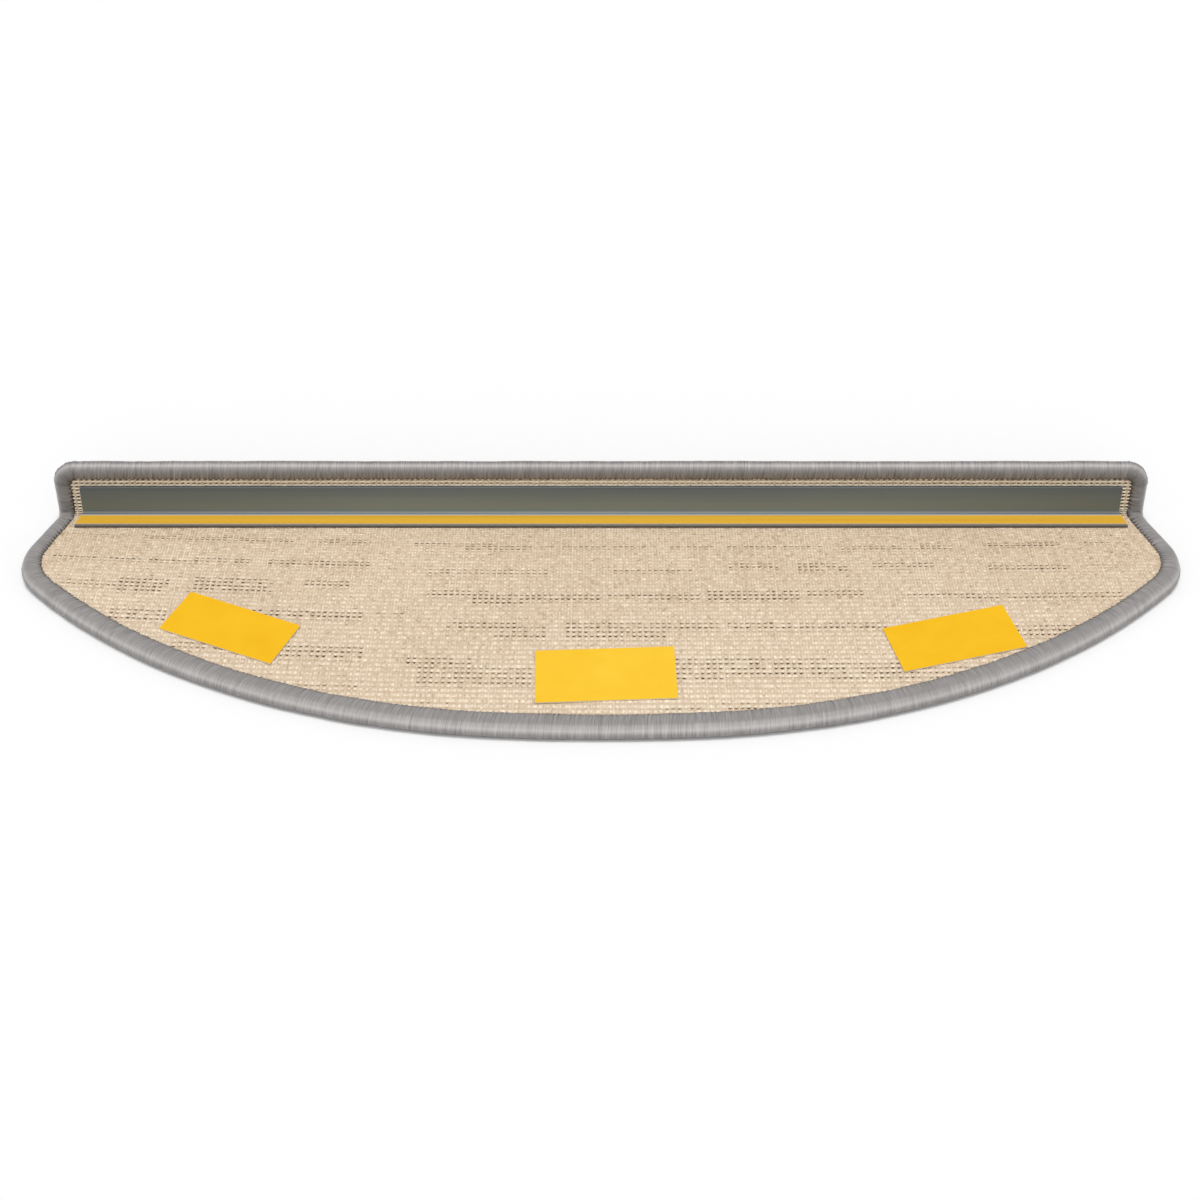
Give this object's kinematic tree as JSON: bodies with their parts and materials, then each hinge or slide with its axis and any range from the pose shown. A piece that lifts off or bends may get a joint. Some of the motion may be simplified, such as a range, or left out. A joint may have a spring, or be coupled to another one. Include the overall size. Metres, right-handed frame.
{
  "type": "anti slip stair tread mat",
  "caption": "Half-round carpet stair tread mat lying face down, with an overlocked edge, a folded riser flap, an angle profile in the fold and adhesive pads under yellow liners.",
  "frame": {"origin": "middle of the mat's box at the level of the walking face, which lies on the floor", "axes": "+X along the mat, +Y towards the riser flap, +Z out of the backing, up off the floor"},
  "size_m": [0.65, 0.21, 0.04],
  "materials": {
    "backing": "matte woven",
    "binding": "satin yarn",
    "profile": "satin",
    "tape": "matte",
    "strip_liner": "satin paper",
    "pad_liner": "matte paper"
  },
  "bodies": {
    "root": {"carpet_tread": "backing", "edge_binding": "binding", "angle_profile": "profile", "profile_tape": "tape", "profile_tape_liner": "strip_liner", "pad_tape_left": "tape", "pad_liner_left": "pad_liner", "pad_tape_middle": "tape", "pad_liner_middle": "pad_liner", "pad_tape_right": "tape", "pad_liner_right": "pad_liner"}
  },
  "joints": []
}
